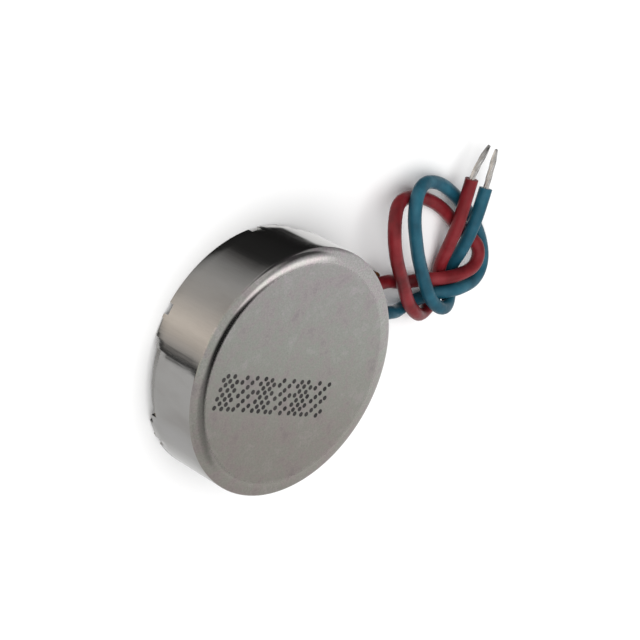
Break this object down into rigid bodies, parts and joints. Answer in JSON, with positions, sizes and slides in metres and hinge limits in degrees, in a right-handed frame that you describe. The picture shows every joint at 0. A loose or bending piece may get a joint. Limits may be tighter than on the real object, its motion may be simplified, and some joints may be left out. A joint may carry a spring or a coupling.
{
  "type": "vibration coin motor",
  "caption": "Flat round vibration motor in a drawn steel can, with an off-balance rotor inside and knotted red and blue leads.",
  "frame": {"origin": "centre of the rear face, on the plane that the end plate and the crimp tabs share", "axes": "+Z along the spin axis, out through the closed face of the can; +X the way the leads leave the rim"},
  "size_m": [0.0178, 0.01, 0.0027],
  "materials": {
    "can_steel": "satin nickel plate",
    "plate_steel": "satin nickel plate",
    "shaft_steel": "ground",
    "polyimide": "satin film",
    "copper": "etched copper",
    "adhesive": "cured adhesive film",
    "magnet": "nickel plate",
    "brush_alloy": "rolled strip",
    "washer_film": "film",
    "sintered_bronze": "sintered, oiled",
    "laminate": "solder mask",
    "gilt_copper": "gold flash",
    "coil_wire": "enamelled wire",
    "heavy_alloy": "sintered",
    "resin": "moulded",
    "red_insulation": "extruded, satin",
    "blue_insulation": "extruded, satin",
    "tinned_copper": "tinned strands",
    "solder": "reflowed",
    "glue": "cured resin"
  },
  "bodies": {
    "stator": {"can": "can_steel", "end_plate": "plate_steel", "shaft": "shaft_steel", "brush_board": "polyimide", "copper_positive": "copper", "copper_negative": "copper", "magnet_adhesive": "adhesive", "ring_magnet": "magnet", "brush_positive": "brush_alloy", "brush_negative": "brush_alloy", "lower_thrust_washer": "washer_film", "upper_thrust_washer": "washer_film", "red_lead": "red_insulation", "red_core_end": "tinned_copper", "red_solder_joint": "solder", "red_tinned_tip": "tinned_copper", "blue_lead": "blue_insulation", "blue_core_end": "tinned_copper", "blue_solder_joint": "solder", "blue_tinned_tip": "tinned_copper", "glue_bead": "glue"},
    "rotor": {"bearing_bush": "sintered_bronze", "rotor_board": "laminate", "commutator_segments": "gilt_copper", "coil_a": "coil_wire", "coil_b": "coil_wire", "counterweight": "heavy_alloy", "rotor_moulding": "resin"}
  },
  "joints": [
    {"name": "rotor_spin", "type": "hinge", "parent": "stator", "child": "rotor", "pos_m": [0, 0, 0.0018], "axis": [0, 0, 1], "continuous": true}
  ]
}
